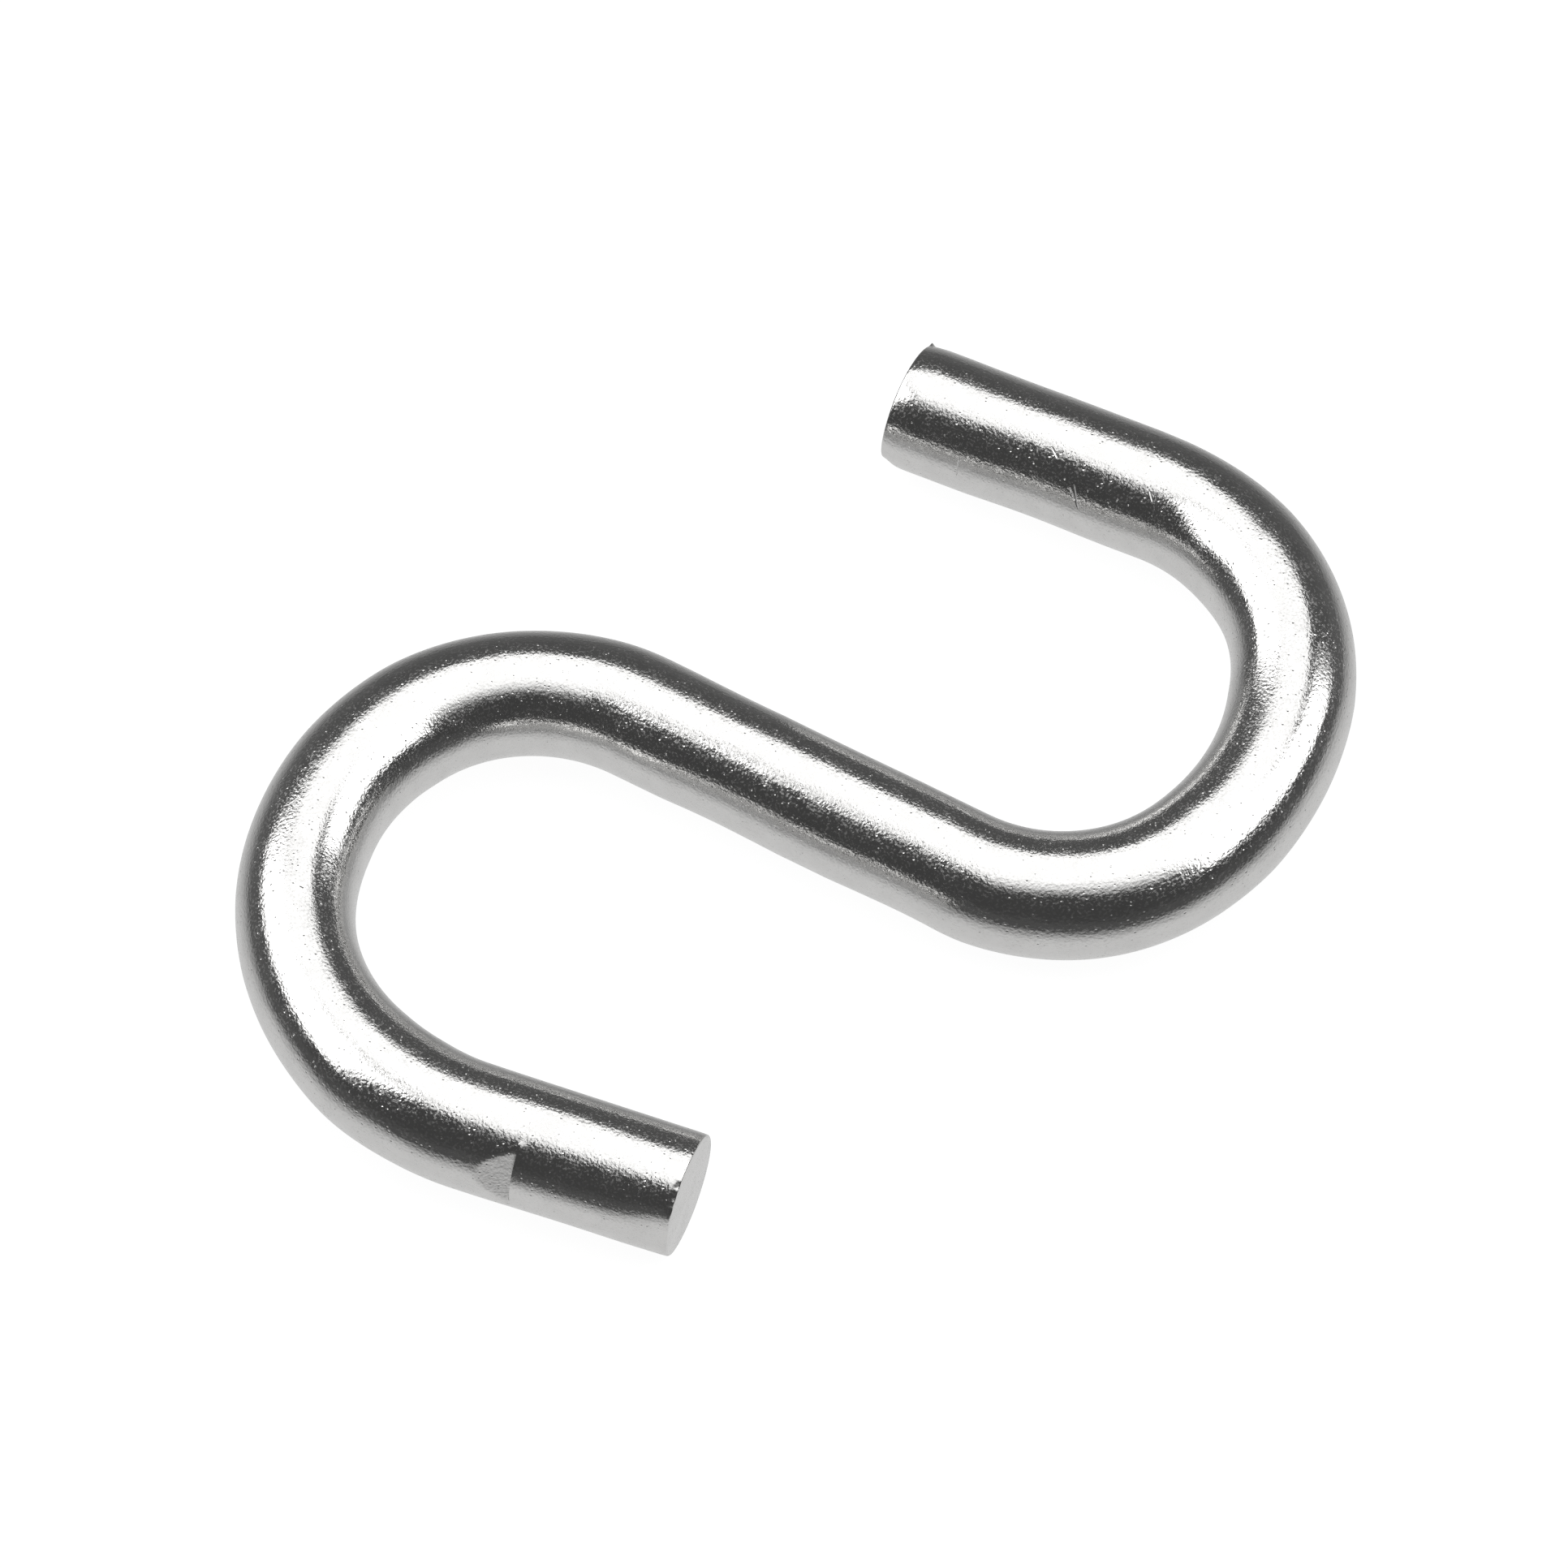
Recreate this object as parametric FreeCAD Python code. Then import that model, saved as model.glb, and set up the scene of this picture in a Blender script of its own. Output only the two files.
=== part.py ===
import FreeCAD, Part
import math
import os
from dataclasses import dataclass

# Open S-hook, bent cold from one length of round steel rod and sheared square at both ends.
#
# The hook lies on its side on z = 0, with +Z up and the origin under the middle of its plan.
# Its straight shank runs along X. At the shank's +X end the rod turns left through the upper
# bend, and the upper tail comes back beside the shank on its +Y side. At the -X end the same
# thing happens the other way round, and the lower tail lies on the -Y side.
#
# A rod bent round a peg and let go springs back most in the middle of the bend, so each bend is
# three arcs that run into each other: a tight entry, a slacker crown and a tight exit.

# Driving dimensions, in millimetres and degrees, on the rod's centre line.
ROD_DIAMETER = 6.0
SHANK_LENGTH = 17.3
SHEAR_ROLLOVER = 0.3

UP = FreeCAD.Vector(0.0, 0.0, 1.0)
ROD_RADIUS = ROD_DIAMETER / 2.0


@dataclass(frozen=True)
class HookEnd:
    """A bend of three arcs, each with a radius and a turn, and the straight tail after it."""

    entry_radius: float
    entry_turn: float
    crown_radius: float
    crown_turn: float
    exit_radius: float
    exit_turn: float
    tail_length: float

    def arcs(self):
        """The radius and turn of each arc, in the order that the rod meets them."""
        return (
            (self.entry_radius, self.entry_turn),
            (self.crown_radius, self.crown_turn),
            (self.exit_radius, self.exit_turn),
        )

    def rod_length(self):
        """Length of rod in the bend and its tail, along the centre line."""
        bent = sum(radius * math.radians(turn) for radius, turn in self.arcs())
        return bent + self.tail_length


UPPER = HookEnd(
    entry_radius=9.3,
    entry_turn=68.0,
    crown_radius=13.1,
    crown_turn=53.5,
    exit_radius=10.7,
    exit_turn=64.0,
    tail_length=12.8,
)
LOWER = HookEnd(
    entry_radius=9.8,
    entry_turn=68.0,
    crown_radius=12.8,
    crown_turn=57.0,
    exit_radius=12.4,
    exit_turn=64.0,
    tail_length=10.9,
)


class RodWalk:
    """Walks along the rod's centre line in plan and keeps each stretch of rod that it makes."""

    def __init__(self, x, heading):
        self.point = FreeCAD.Vector(x, 0.0, ROD_RADIUS)
        self.heading = heading
        self.stretches = []

    def direction(self):
        """Unit vector along the rod at the walk's present point."""
        angle = math.radians(self.heading)
        return FreeCAD.Vector(math.cos(angle), math.sin(angle), 0.0)

    def section(self):
        """The rod's round section at the present point, square to the rod."""
        rim = Part.makeCircle(ROD_RADIUS, self.point, self.direction())
        return Part.Face(Part.Wire(rim))

    def straight(self, length):
        """Adds a straight stretch of rod."""
        step = self.direction() * length
        self.stretches.append(self.section().extrude(step))
        self.point = self.point + step

    def left_arc(self, radius, turn):
        """Adds a stretch of rod bent to the left round an upright axis."""
        centre = self.point + UP.cross(self.direction()) * radius
        self.stretches.append(self.section().revolve(centre, UP, turn))
        spoke = self.point - centre
        self.point = centre + FreeCAD.Rotation(UP, turn).multVec(spoke)
        self.heading += turn


def walk_hook_end(hook_end, x, heading):
    """One hooked end, walked from where the shank stops to the cut end of the tail."""
    walk = RodWalk(x, heading)
    for radius, turn in hook_end.arcs():
        walk.left_arc(radius, turn)
    walk.straight(hook_end.tail_length)
    return walk


def shank():
    """The straight rod between the two bends, centred on the walk's own origin."""
    walk = RodWalk(-SHANK_LENGTH / 2.0, 0.0)
    walk.straight(SHANK_LENGTH)
    return walk.stretches[0]


def rolled_over(rod, cut_points):
    """Rounds the sharp rim of each sheared end, as the shear's blade drags it over."""
    rims = [
        edge
        for edge in rod.Edges
        if any(edge.CenterOfMass.distanceToPoint(point) < SHEAR_ROLLOVER for point in cut_points)
    ]
    return rod.makeFillet(SHEAR_ROLLOVER, rims)


def over_origin(rod):
    """Moves the rod in plan until the middle of its box is over the origin."""
    box = rod.optimalBoundingBox(False, False)
    middle = FreeCAD.Vector(box.Center.x, box.Center.y, 0.0)
    return rod.translated(-middle)


def hook_rod():
    """The whole hook as one solid."""
    upper = walk_hook_end(UPPER, SHANK_LENGTH / 2.0, 0.0)
    lower = walk_hook_end(LOWER, -SHANK_LENGTH / 2.0, 180.0)
    joined = shank().fuse(upper.stretches + lower.stretches).removeSplitter()
    rod = rolled_over(joined.Solids[0], [upper.point, lower.point])
    return over_origin(rod.Solids[0])


def check_volume(rod):
    """Prints the rod's volume beside its section times its length, which it has to match."""
    length = SHANK_LENGTH + UPPER.rod_length() + LOWER.rod_length()
    expected = math.pi * ROD_RADIUS**2 * length
    print(f"rod {length:.1f} mm long, volume {rod.Volume:.1f} mm3, section times length {expected:.1f}")


def main():
    """Builds the hook and writes its STEP file."""
    os.makedirs("parts", exist_ok=True)
    rod = hook_rod()
    check_volume(rod)
    rod.exportStep("parts/hook_rod.step")


if __name__ == "__main__":
    main()
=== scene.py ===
"""An open S-hook: one bright-plated steel rod, bent cold into an S and sheared off at both ends.

A node tree grows the rod's surface from the sizes of its bends. The shear's drag, the flattening
in the bends and the tool marks are real dents in that surface, and the plating's pebbled skin is
in the finish. The hook lies on a pale table under three soft lights.
"""

import logging
import math
from dataclasses import dataclass, field
from enum import Enum
from typing import ClassVar, Iterator, Union

import bpy
from mathutils import Euler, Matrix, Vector


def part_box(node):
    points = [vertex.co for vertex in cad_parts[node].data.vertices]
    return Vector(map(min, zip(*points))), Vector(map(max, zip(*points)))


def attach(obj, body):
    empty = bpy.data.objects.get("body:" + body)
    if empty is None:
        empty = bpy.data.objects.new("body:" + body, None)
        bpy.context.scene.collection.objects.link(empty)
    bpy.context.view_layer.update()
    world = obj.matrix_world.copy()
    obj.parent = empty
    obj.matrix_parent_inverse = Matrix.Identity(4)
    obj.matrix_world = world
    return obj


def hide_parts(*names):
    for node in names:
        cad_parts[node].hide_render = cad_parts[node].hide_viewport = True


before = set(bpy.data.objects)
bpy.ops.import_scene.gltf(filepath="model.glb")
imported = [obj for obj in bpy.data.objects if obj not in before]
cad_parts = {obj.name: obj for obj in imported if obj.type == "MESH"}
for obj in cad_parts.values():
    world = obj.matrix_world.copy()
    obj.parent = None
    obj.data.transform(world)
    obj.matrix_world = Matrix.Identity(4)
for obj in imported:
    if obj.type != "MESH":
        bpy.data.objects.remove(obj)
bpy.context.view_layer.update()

MM = 0.001
UP = Vector((0.0, 0.0, 1.0))
log = logging.getLogger("s_hook")

Socket = bpy.types.NodeSocket
Outputs = bpy.types.NodeOutputs
Operand = Union[Socket, float]

# The attribute that keeps each point's place on the unbent rod, for the finish to read.
UNBENT_PLACE = "unbent_place"


class NodeSheet:
    """Adds nodes to one tree and wires them, so that a formula reads as a formula."""

    def __init__(self, tree: bpy.types.NodeTree) -> None:
        """Keeps the tree that the nodes go in.

        Args:
            tree: A geometry or shader node tree.
        """
        self.tree = tree

    def add(self, kind: str, **settings: object) -> bpy.types.Node:
        """Adds one node.

        Args:
            kind: The node's type name.
            settings: Properties of the node, by name.

        Returns:
            The new node.
        """
        node = self.tree.nodes.new(kind)
        for name, value in settings.items():
            setattr(node, name, value)
        return node

    def feed(self, socket: Socket, value: object) -> None:
        """Wires a socket to another, or sets its own value.

        Args:
            socket: The input to fill.
            value: A socket to link from, or a plain value.
        """
        if isinstance(value, bpy.types.NodeSocket):
            self.tree.links.new(value, socket)
        else:
            socket.default_value = value

    def feed_all(self, node: bpy.types.Node, **values: object) -> bpy.types.Node:
        """Fills several of a node's inputs, named with _ for each space.

        Args:
            node: The node whose inputs are filled.
            values: What each input gets, by its name.

        Returns:
            The same node.
        """
        for name, value in values.items():
            self.feed(node.inputs[name.replace("_", " ")], value)
        return node

    def math(self, operation: str, *values: Operand) -> Socket:
        """Adds a Math node.

        Args:
            operation: The node's operation, such as MULTIPLY.
            values: Its operands, in order.

        Returns:
            The result's socket.
        """
        node = self.add("ShaderNodeMath", operation=operation)
        for socket, value in zip(node.inputs, values):
            self.feed(socket, value)
        return node.outputs[0]

    def total(self, *values: Operand) -> Socket:
        """The sum of several values.

        Args:
            values: What to add up.

        Returns:
            The sum's socket.
        """
        result = values[0]
        for value in values[1:]:
            result = self.math("ADD", result, value)
        return result

    def product(self, *values: Operand) -> Socket:
        """The product of several values.

        Args:
            values: What to multiply.

        Returns:
            The product's socket.
        """
        result = values[0]
        for value in values[1:]:
            result = self.math("MULTIPLY", result, value)
        return result

    def less(self, value: Operand, taken: Operand) -> Socket:
        """One value less another."""
        return self.math("SUBTRACT", value, taken)

    def square(self, value: Socket) -> Socket:
        """A value times itself."""
        return self.math("MULTIPLY", value, value)

    def vector_math(self, operation: str, *values: object) -> Socket:
        """Adds a Vector Math node.

        Args:
            operation: The node's operation, such as ADD.
            values: Its vector operands, in order.

        Returns:
            The resulting vector's socket.
        """
        node = self.add("ShaderNodeVectorMath", operation=operation)
        for socket, value in zip(node.inputs, values):
            self.feed(socket, value)
        return node.outputs[0]

    def scaled(self, vector: Socket, scale: Operand) -> Socket:
        """A vector times a number.

        Args:
            vector: The vector.
            scale: The number.

        Returns:
            The scaled vector's socket.
        """
        node = self.add("ShaderNodeVectorMath", operation="SCALE")
        self.feed(node.inputs[0], vector)
        self.feed(node.inputs["Scale"], scale)
        return node.outputs[0]

    def vector(self, x: Operand, y: Operand, z: Operand) -> Socket:
        """A vector made of three numbers.

        Args:
            x: Its first number.
            y: Its second number.
            z: Its third number.

        Returns:
            The vector's socket.
        """
        node = self.add("ShaderNodeCombineXYZ")
        for socket, value in zip(node.inputs, (x, y, z)):
            self.feed(socket, value)
        return node.outputs[0]

    def parts(self, vector: Socket) -> tuple[Socket, Socket, Socket]:
        """The three numbers that a vector is made of.

        Args:
            vector: The vector.

        Returns:
            Its three numbers, in order.
        """
        node = self.add("ShaderNodeSeparateXYZ")
        self.feed(node.inputs[0], vector)
        return node.outputs[0], node.outputs[1], node.outputs[2]

    def ramp(
        self,
        value: Operand,
        start: Operand,
        end: Operand,
        low: Operand = 0.0,
        high: Operand = 1.0,
        smooth: bool = False,
    ) -> Socket:
        """Maps one range onto another, and holds the ends outside it.

        Args:
            value: The number to map.
            start: Where the range begins.
            end: Where the range ends.
            low: The result at the start.
            high: The result at the end.
            smooth: Whether the slope eases in and out.

        Returns:
            The mapped value's socket.
        """
        node = self.add("ShaderNodeMapRange", clamp=True)
        if smooth:
            node.interpolation_type = "SMOOTHSTEP"
        for socket, number in zip(node.inputs, (value, start, end, low, high)):
            self.feed(socket, number)
        return node.outputs[0]

    def noise(self, place: Socket, scale: Operand, detail: float) -> Socket:
        """A noise texture's value, from 0 to 1.

        Args:
            place: Where the texture is read.
            scale: Its scale.
            detail: How many finer layers it has.

        Returns:
            The value's socket.
        """
        node = self.add("ShaderNodeTexNoise")
        self.feed_all(node, Vector=place, Scale=scale, Detail=detail)
        return node.outputs[0]


class FormulaGroup:
    """A small node group that works out numbers from numbers, for a tree to use many times."""

    def __init__(self, name: str, given: tuple[str, ...], results: tuple[str, ...]) -> None:
        """Makes the group with its sockets.

        Args:
            name: The group's name.
            given: The names of its inputs, all numbers.
            results: The names of its outputs; one that ends in "step" is a vector.
        """
        self.tree = bpy.data.node_groups.new(name, "GeometryNodeTree")
        for socket in given:
            self.tree.interface.new_socket(socket, in_out="INPUT", socket_type="NodeSocketFloat")
        for socket in results:
            kind = "NodeSocketVector" if socket.endswith("step") else "NodeSocketFloat"
            self.tree.interface.new_socket(socket, in_out="OUTPUT", socket_type=kind)
        self.sheet = NodeSheet(self.tree)
        self.given = self.sheet.add("NodeGroupInput").outputs

    def finish(self, **results: Socket) -> bpy.types.NodeTree:
        """Wires the results to the group's outputs.

        Args:
            results: The socket for each output, by its name, with _ for each space.

        Returns:
            The finished group.
        """
        self.sheet.feed_all(self.sheet.add("NodeGroupOutput"), **results)
        return self.tree


@dataclass(frozen=True)
class Run:
    """One stretch of the rod's centre line: straight where its turn is 0, else an arc.

    Lengths are in metres and turns in radians, positive to the left.
    """

    length: float
    turn: float = 0.0

    @staticmethod
    def arc(radius_mm: float, turn_deg: float) -> "Run":
        """An arc of this radius in millimetres and this turn in degrees."""
        turn = math.radians(turn_deg)
        return Run(radius_mm * MM * abs(turn), turn)

    @staticmethod
    def straight(length_mm: float) -> "Run":
        """A straight run of this length in millimetres."""
        return Run(length_mm * MM)

    def travel(self, heading: float, share: float = 1.0) -> Vector:
        """The step from the run's start to a point on it.

        Args:
            heading: The rod's heading at the run's start, in radians.
            share: How far along the run the point is, from 0 to 1.

        Returns:
            The step, in the plane of the hook.
        """
        half = self.turn * share / 2.0
        chord = self.length * share * (math.sin(half) / half if half else 1.0)
        return Vector((math.cos(heading + half), math.sin(heading + half), 0.0)) * chord


@dataclass(frozen=True)
class RodPath:
    """The centre line of the rod, from the lower tail's cut end to the upper tail's."""

    start_heading_deg: float = 189.0
    runs: tuple[Run, ...] = (
        Run.straight(10.9),
        Run.arc(12.4, -64.0),
        Run.arc(12.8, -57.0),
        Run.arc(9.8, -68.0),
        Run.straight(17.3),
        Run.arc(9.3, 68.0),
        Run.arc(13.1, 53.5),
        Run.arc(10.7, 64.0),
        Run.straight(12.8),
    )

    def heading(self) -> float:
        """The heading at the path's start, in radians."""
        return math.radians(self.start_heading_deg)

    def points(self, steps: int = 200) -> Iterator[Vector]:
        """Points along the path, counted from its own start.

        Args:
            steps: How many points each run gives.

        Yields:
            The points, in order.
        """
        place = Vector((0.0, 0.0, 0.0))
        heading = self.heading()
        for run in self.runs:
            for step in range(steps + 1):
                yield place + run.travel(heading, step / steps)
            place = place + run.travel(heading)
            heading += run.turn

    def start(self, low: Vector, high: Vector) -> Vector:
        """Where the path starts, so that the hook lies in the middle of the frame's box.

        Args:
            low: The box's lowest corner.
            high: The box's highest corner.

        Returns:
            The path's first point.
        """
        points = list(self.points())
        middle = (low + high) / 2.0
        reach_x = [point.x for point in points]
        reach_y = [point.y for point in points]
        return Vector(
            (
                middle.x - (min(reach_x) + max(reach_x)) / 2.0,
                middle.y - (min(reach_y) + max(reach_y)) / 2.0,
                middle.z,
            )
        )


class MarkKind(Enum):
    """How a tool has marked the rod."""

    DENT = "a hollow with soft sides, or a swelling where its depth is negative"
    PINCH = "a flat that bites deeper along the rod and ends in a sharp step"


@dataclass(frozen=True)
class ToolMark:
    """One tool mark, placed on the unbent rod.

    Distances are in millimetres along the rod from the lower cut end. Round the rod, 0 degrees
    is the left side, seen along the rod from that end, and 90 degrees is the top. A pinch has
    no reach around the rod, because the width of its flat follows from its depth.
    """

    kind: MarkKind
    along: float
    around_deg: float
    reach_along: float
    reach_around: float
    depth: float


@dataclass(frozen=True)
class CutEnd:
    """How the shear has left one end of the rod.

    Distances are in millimetres. The drag rounds the rod towards the cut, most of all on the
    side that the blade met first. The slant leans the face, and the dome swells its middle.
    """

    drag_reach: float
    drag_drop: float
    drag_side_deg: float
    slant: float
    slant_side_deg: float
    dome: float


@dataclass(frozen=True)
class Scratch:
    """One scratch through the plating's shine, placed as a ToolMark is, in millimetres."""

    along: float
    around_deg: float
    half_length: float
    half_width: float
    slew_deg: float


@dataclass(frozen=True)
class PlatedSteel:
    """Bright plating over drawn rod: a fine pebbled skin, pits and faint drawing lines.

    Scales are counts of cells in a metre, and heights are in metres. A span is the part of a
    noise's range over which a patch sets in. The rod's radius is in millimetres.
    """

    name: str = "plated_steel"
    colour: tuple[float, float, float] = (0.78, 0.775, 0.765)
    dull_share: float = 0.94
    dull_scale: float = 700.0
    dull_span: tuple[float, float] = (0.4, 0.7)
    cloud_detail: float = 4.0
    roughness_low: float = 0.10
    roughness_high: float = 0.16
    cloud_scale: float = 1100.0
    cloud_span: tuple[float, float] = (0.35, 0.65)
    grain_scale: float = 8500.0
    grain_span: tuple[float, float] = (0.5, 0.68)
    grain_detail: float = 0.0
    grain_roughness: float = 0.145
    pebble_scale: float = 7000.0
    pebble_detail: float = 1.5
    pebble_height: float = 1.25e-5
    swell_scale: float = 1300.0
    swell_detail: float = 1.0
    swell_height: float = 5.0e-6
    pit_scale: float = 3400.0
    pit_share: float = 0.6
    pit_reach: float = 0.24
    pit_height: float = 1.5e-5
    line_scale: float = 5200.0
    line_detail: float = 1.0
    line_stretch: float = 0.03
    line_height: float = 4.0e-6
    rod_radius: float = 3.0
    scratch_height: float = 5.0e-5
    # Each scratch's place along and around the rod, half length, half width and slew.
    scratches: tuple[Scratch, ...] = (
        Scratch(106.3, 64.0, 0.28, 0.07, 42.0),
        Scratch(106.1, 66.0, 0.16, 0.06, -30.0),
        Scratch(104.7, 31.0, 0.62, 0.07, 68.0),
        Scratch(104.9, 33.0, 0.30, 0.05, 55.0),
        Scratch(110.6, 14.0, 0.55, 0.05, 88.0),
        Scratch(101.2, 58.0, 0.25, 0.06, 50.0),
    )

    def material(self) -> bpy.types.Material:
        """Builds the finish.

        Returns:
            The finished material.
        """
        material = bpy.data.materials.new(self.name)
        material.use_nodes = True
        material.node_tree.nodes.clear()
        sheet = NodeSheet(material.node_tree)
        place = sheet.add("ShaderNodeAttribute", attribute_name=UNBENT_PLACE).outputs["Vector"]
        shader = sheet.add("ShaderNodeBsdfPrincipled")
        shader.inputs["Metallic"].default_value = 1.0
        sheet.feed_all(
            shader,
            Base_Color=self._tint(sheet, place),
            Roughness=self._roughness(sheet, place),
            Normal=self._relief(sheet, place),
        )
        sheet.feed_all(sheet.add("ShaderNodeOutputMaterial"), Surface=shader.outputs[0])
        return material

    def _tint(self, sheet: NodeSheet, place: Socket) -> Socket:
        """The metal's colour, a little darker in the clouds of the plating.

        Args:
            sheet: The material's sheet.
            place: The place on the unbent rod.

        Returns:
            The colour's socket.
        """
        cloud = sheet.noise(place, self.dull_scale, self.cloud_detail)
        dull = tuple(self.dull_share * level for level in self.colour)
        mix = sheet.add("ShaderNodeMix", data_type="RGBA")
        sheet.feed(mix.inputs["Factor"], sheet.ramp(cloud, *self.dull_span))
        # The node keeps its two colours in the seventh and eighth sockets.
        mix.inputs[6].default_value = self.colour + (1.0,)
        mix.inputs[7].default_value = dull + (1.0,)
        return mix.outputs[2]

    def _roughness(self, sheet: NodeSheet, place: Socket) -> Socket:
        """Frosted and brighter patches in the size of the plating's clouds, with frosted grains.

        Args:
            sheet: The material's sheet.
            place: The place on the unbent rod.

        Returns:
            The roughness's socket.
        """
        cloud = sheet.noise(place, self.cloud_scale, self.cloud_detail)
        speck = sheet.noise(place, self.grain_scale, self.grain_detail)
        grain = sheet.ramp(speck, *self.grain_span, 0.0, self.grain_roughness)
        patches = sheet.ramp(cloud, *self.cloud_span, self.roughness_low, self.roughness_high)
        return sheet.total(patches, grain)

    def _pits(self, sheet: NodeSheet, place: Socket) -> Socket:
        """Small round pits, in a random share of the cells of a scattered pattern.

        Args:
            sheet: The material's sheet.
            place: The place on the unbent rod.

        Returns:
            How deep the place is in a pit, from 0 to 1.
        """
        cells = sheet.add("ShaderNodeTexVoronoi")
        sheet.feed_all(cells, Vector=place, Scale=self.pit_scale)
        chance, _, _ = sheet.parts(cells.outputs["Color"])
        chosen = sheet.math("LESS_THAN", chance, self.pit_share)
        bowl = sheet.ramp(cells.outputs["Distance"], 0.0, self.pit_reach, 1.0, 0.0, smooth=True)
        return sheet.product(bowl, chosen)

    def _scratched(self, sheet: NodeSheet, place: Socket) -> Socket:
        """Where all the scratches are, from 0 to 1."""
        return sheet.total(*(self._scratch(sheet, place, scratch) for scratch in self.scratches))

    def _scratch(self, sheet: NodeSheet, place: Socket, scratch: Scratch) -> Socket:
        """One scratch: a line with soft edges between two points on the unbent rod.

        Args:
            sheet: The material's sheet.
            place: The place on the unbent rod.
            scratch: Where the scratch is, and its size.

        Returns:
            How deep the place is in the scratch, from 0 to 1.
        """
        around = math.radians(scratch.around_deg)
        slew = math.radians(scratch.slew_deg)
        middle = Vector(
            (scratch.along, self.rod_radius * math.cos(around), self.rod_radius * math.sin(around))
        )
        run = Vector(
            (math.cos(slew), -math.sin(around) * math.sin(slew), math.cos(around) * math.sin(slew))
        )
        start = (middle - run * scratch.half_length) * MM
        end = (middle + run * scratch.half_length) * MM
        line = end - start
        past = sheet.add("ShaderNodeVectorMath", operation="DOT_PRODUCT")
        sheet.feed(past.inputs[0], sheet.vector_math("SUBTRACT", place, start))
        past.inputs[1].default_value = line / line.length_squared
        on_line = sheet.ramp(past.outputs["Value"], 0.0, 1.0)
        nearest = sheet.vector_math("ADD", sheet.scaled(sheet.vector(*line), on_line), start)
        gap = sheet.add("ShaderNodeVectorMath", operation="DISTANCE")
        sheet.feed(gap.inputs[0], place)
        sheet.feed(gap.inputs[1], nearest)
        return sheet.ramp(gap.outputs["Value"], 0.0, scratch.half_width * MM, 1.0, 0.0, smooth=True)

    def _relief(self, sheet: NodeSheet, place: Socket) -> Socket:
        """The swells, the pebbled skin, the drawing lines, the pits and the scratches.

        Args:
            sheet: The material's sheet.
            place: The place on the unbent rod.

        Returns:
            The normal's socket.
        """
        drawn = sheet.vector_math("MULTIPLY", place, (self.line_stretch, 1.0, 1.0))
        swells = sheet.noise(place, self.swell_scale, self.swell_detail)
        pebbles = sheet.noise(place, self.pebble_scale, self.pebble_detail)
        lines = sheet.noise(drawn, self.line_scale, self.line_detail)
        height = sheet.total(
            sheet.product(swells, self.swell_height),
            sheet.product(pebbles, self.pebble_height),
            sheet.product(lines, self.line_height),
            sheet.product(self._pits(sheet, place), -self.pit_height),
            sheet.product(self._scratched(sheet, place), -self.scratch_height),
        )
        bump = sheet.add("ShaderNodeBump")
        sheet.feed_all(bump, Strength=1.0, Distance=1.0, Height=height)
        return bump.outputs[0]


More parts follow.
